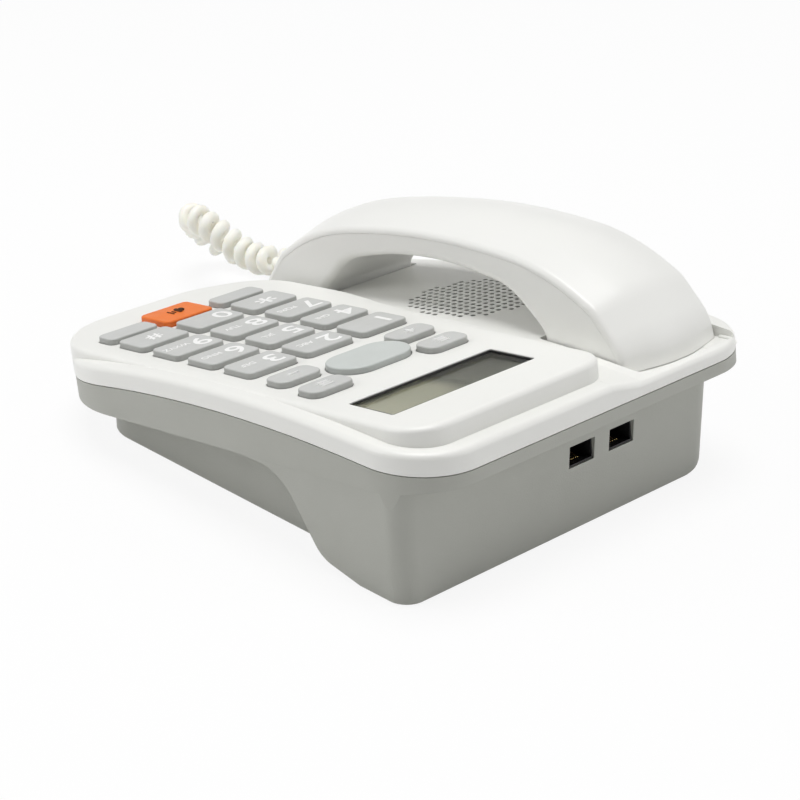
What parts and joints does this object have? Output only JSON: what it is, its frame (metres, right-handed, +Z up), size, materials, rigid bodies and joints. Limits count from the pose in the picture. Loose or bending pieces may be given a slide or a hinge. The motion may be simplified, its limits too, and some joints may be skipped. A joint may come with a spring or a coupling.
{
  "type": "corded landline phone",
  "caption": "Corded desk telephone with a sloping keypad panel, display window, lift-off handset on a cradle, curly cord and rear line sockets.",
  "frame": {"origin": "centre of the phone's footprint on the table, cord left out", "axes": "+Z up, +Y towards the rear with the sockets, +X to the user's right, handset on the user's left"},
  "size_m": [0.1947, 0.2823, 0.0778],
  "materials": {
    "casing_white": "satin moulded ABS",
    "casing_grey": "fine moulded texture",
    "key_grey": "satin",
    "key_orange": "satin",
    "key_oval": "satin",
    "screw_steel": "zinc plated",
    "weight_steel": "plain",
    "board_green": "solder mask",
    "mat_rubber": "matt silicone",
    "foot_rubber": "matt",
    "lens_clear": "clear plastic",
    "display_olive": "satin",
    "inner_black": "satin",
    "hook_white": "satin",
    "cord_cream": "soft satin jacket",
    "plug_cream": "satin"
  },
  "bodies": {
    "base": {"ballast_plate": "weight_steel", "base_plug": "plug_cream", "board_screws": "screw_steel", "cord_jack": "inner_black", "display_lens": "lens_clear", "display_module": "display_olive", "handset_cord": "cord_cream", "hook_switch": "inner_black", "housing_screws": "screw_steel", "key_mat": "mat_rubber", "keypad_board": "board_green", "line_jack": "inner_black", "loudspeaker": "inner_black", "lower_housing": "casing_grey", "main_board": "board_green", "rubber_feet": "foot_rubber", "spare_jack": "inner_black", "upper_housing": "casing_white"},
    "hook": {"hook_plunger": "hook_white"},
    "handset": {"handset_cover": "casing_white", "handset_shell": "casing_white", "handset_screws": "screw_steel", "receiver_capsule": "inner_black", "microphone": "inner_black", "handset_weight": "weight_steel", "handset_jack": "inner_black", "handset_plug": "plug_cream"},
    "key_0_body": {"key_0": "key_grey"},
    "key_1_body": {"key_1": "key_grey"},
    "key_2_body": {"key_2": "key_grey"},
    "key_3_body": {"key_3": "key_grey"},
    "key_4_body": {"key_4": "key_grey"},
    "key_5_body": {"key_5": "key_grey"},
    "key_6_body": {"key_6": "key_grey"},
    "key_7_body": {"key_7": "key_grey"},
    "key_8_body": {"key_8": "key_grey"},
    "key_9_body": {"key_9": "key_grey"},
    "key_hash_body": {"key_hash": "key_grey"},
    "key_orange_body": {"key_orange": "key_orange"},
    "key_oval_body": {"key_oval": "key_oval"},
    "key_slim_left_body": {"key_slim_left": "key_grey"},
    "key_slim_right_body": {"key_slim_right": "key_grey"},
    "key_small_a_body": {"key_small_a": "key_grey"},
    "key_small_b_body": {"key_small_b": "key_grey"},
    "key_small_c_body": {"key_small_c": "key_grey"},
    "key_small_d_body": {"key_small_d": "key_grey"},
    "key_star_body": {"key_star": "key_grey"}
  },
  "joints": [
    {"name": "handset_lift", "type": "slide", "parent": "base", "child": "handset", "axis": [0, -0.1513, 0.9885], "range_m": [0, 0.1], "deforming": ["handset_cord"]},
    {"name": "hook_rise", "type": "slide", "parent": "base", "child": "hook", "axis": [0, -0.1513, 0.9885], "range_m": [0, 0.004]},
    {"name": "key_0_press", "type": "slide", "parent": "base", "child": "key_0_body", "axis": [0, 0.1513, -0.9885], "range_m": [0, 0.0015], "stiffness_N_per_m": 400},
    {"name": "key_1_press", "type": "slide", "parent": "base", "child": "key_1_body", "axis": [0, 0.1513, -0.9885], "range_m": [0, 0.0015], "stiffness_N_per_m": 400},
    {"name": "key_2_press", "type": "slide", "parent": "base", "child": "key_2_body", "axis": [0, 0.1513, -0.9885], "range_m": [0, 0.0015], "stiffness_N_per_m": 400},
    {"name": "key_3_press", "type": "slide", "parent": "base", "child": "key_3_body", "axis": [0, 0.1513, -0.9885], "range_m": [0, 0.0015], "stiffness_N_per_m": 400},
    {"name": "key_4_press", "type": "slide", "parent": "base", "child": "key_4_body", "axis": [0, 0.1513, -0.9885], "range_m": [0, 0.0015], "stiffness_N_per_m": 400},
    {"name": "key_5_press", "type": "slide", "parent": "base", "child": "key_5_body", "axis": [0, 0.1513, -0.9885], "range_m": [0, 0.0015], "stiffness_N_per_m": 400},
    {"name": "key_6_press", "type": "slide", "parent": "base", "child": "key_6_body", "axis": [0, 0.1513, -0.9885], "range_m": [0, 0.0015], "stiffness_N_per_m": 400},
    {"name": "key_7_press", "type": "slide", "parent": "base", "child": "key_7_body", "axis": [0, 0.1513, -0.9885], "range_m": [0, 0.0015], "stiffness_N_per_m": 400},
    {"name": "key_8_press", "type": "slide", "parent": "base", "child": "key_8_body", "axis": [0, 0.1513, -0.9885], "range_m": [0, 0.0015], "stiffness_N_per_m": 400},
    {"name": "key_9_press", "type": "slide", "parent": "base", "child": "key_9_body", "axis": [0, 0.1513, -0.9885], "range_m": [0, 0.0015], "stiffness_N_per_m": 400},
    {"name": "key_hash_press", "type": "slide", "parent": "base", "child": "key_hash_body", "axis": [0, 0.1513, -0.9885], "range_m": [0, 0.0015], "stiffness_N_per_m": 400},
    {"name": "key_orange_press", "type": "slide", "parent": "base", "child": "key_orange_body", "axis": [0, 0.1513, -0.9885], "range_m": [0, 0.0015], "stiffness_N_per_m": 400},
    {"name": "key_oval_press", "type": "slide", "parent": "base", "child": "key_oval_body", "axis": [0, 0.1513, -0.9885], "range_m": [0, 0.0015], "stiffness_N_per_m": 400},
    {"name": "key_slim_left_press", "type": "slide", "parent": "base", "child": "key_slim_left_body", "axis": [0, 0.1513, -0.9885], "range_m": [0, 0.0015], "stiffness_N_per_m": 400},
    {"name": "key_slim_right_press", "type": "slide", "parent": "base", "child": "key_slim_right_body", "axis": [0, 0.1513, -0.9885], "range_m": [0, 0.0015], "stiffness_N_per_m": 400},
    {"name": "key_small_a_press", "type": "slide", "parent": "base", "child": "key_small_a_body", "axis": [0, 0.1513, -0.9885], "range_m": [0, 0.0015], "stiffness_N_per_m": 400},
    {"name": "key_small_b_press", "type": "slide", "parent": "base", "child": "key_small_b_body", "axis": [0, 0.1513, -0.9885], "range_m": [0, 0.0015], "stiffness_N_per_m": 400},
    {"name": "key_small_c_press", "type": "slide", "parent": "base", "child": "key_small_c_body", "axis": [0, 0.1513, -0.9885], "range_m": [0, 0.0015], "stiffness_N_per_m": 400},
    {"name": "key_small_d_press", "type": "slide", "parent": "base", "child": "key_small_d_body", "axis": [0, 0.1513, -0.9885], "range_m": [0, 0.0015], "stiffness_N_per_m": 400},
    {"name": "key_star_press", "type": "slide", "parent": "base", "child": "key_star_body", "axis": [0, 0.1513, -0.9885], "range_m": [0, 0.0015], "stiffness_N_per_m": 400}
  ],
  "couplings": [
    {"joint": "hook_rise", "follows": "handset_lift", "ratio": 0.04}
  ]
}
